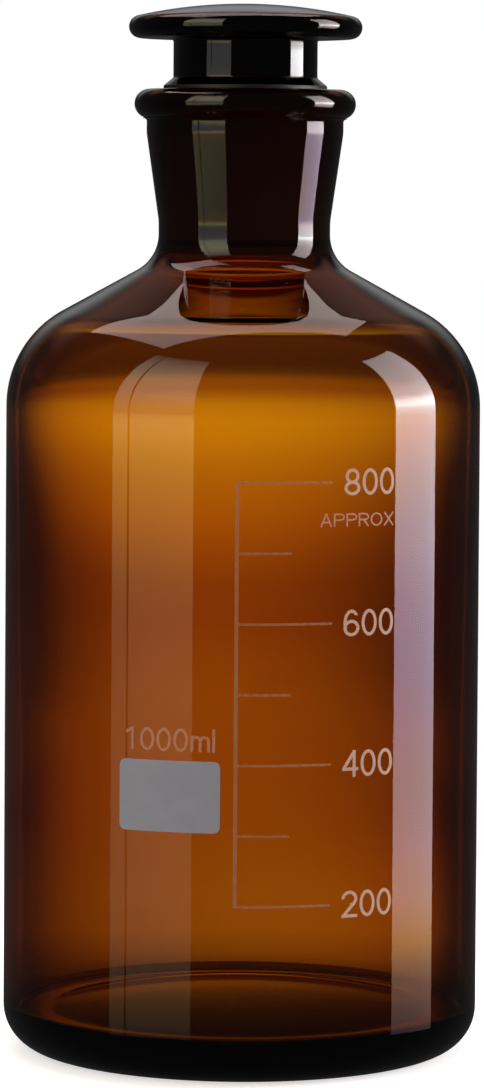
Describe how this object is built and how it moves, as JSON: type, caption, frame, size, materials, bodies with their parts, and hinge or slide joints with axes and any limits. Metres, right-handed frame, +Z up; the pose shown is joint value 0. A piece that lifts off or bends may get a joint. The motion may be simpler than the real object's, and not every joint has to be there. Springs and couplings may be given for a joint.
{
  "type": "reagent bottle",
  "caption": "Narrow-mouth reagent bottle in amber glass with a flat-headed ground-in glass stopper, a volume scale and a writing patch fired on its front.",
  "frame": {"origin": "middle of the foot, on the surface that the bottle stands on", "axes": "+Z up along the bottle's axis; the printed scale faces -Y"},
  "size_m": [0.1, 0.1001, 0.2207],
  "materials": {
    "amber_glass": "amber glass, fire-polished outside",
    "stopper_glass": "thick amber glass, polished head, ground plug",
    "scale_enamel": "thin fired enamel, pinkish white",
    "capacity_enamel": "thin fired enamel, greyish",
    "patch_enamel": "matt fired enamel for writing on"
  },
  "bodies": {
    "bottle": {"bottle": "amber_glass", "scale_lines": "scale_enamel", "number_200": "scale_enamel", "number_400": "scale_enamel", "number_600": "scale_enamel", "number_800": "scale_enamel", "approx_mark": "scale_enamel", "capacity_mark": "capacity_enamel", "label_patch": "patch_enamel"},
    "stopper": {"stopper": "stopper_glass"}
  },
  "joints": [
    {"name": "stopper_lift", "type": "slide", "parent": "bottle", "child": "stopper", "axis": [0, 0, 1], "range_m": [0, 0.06]}
  ]
}
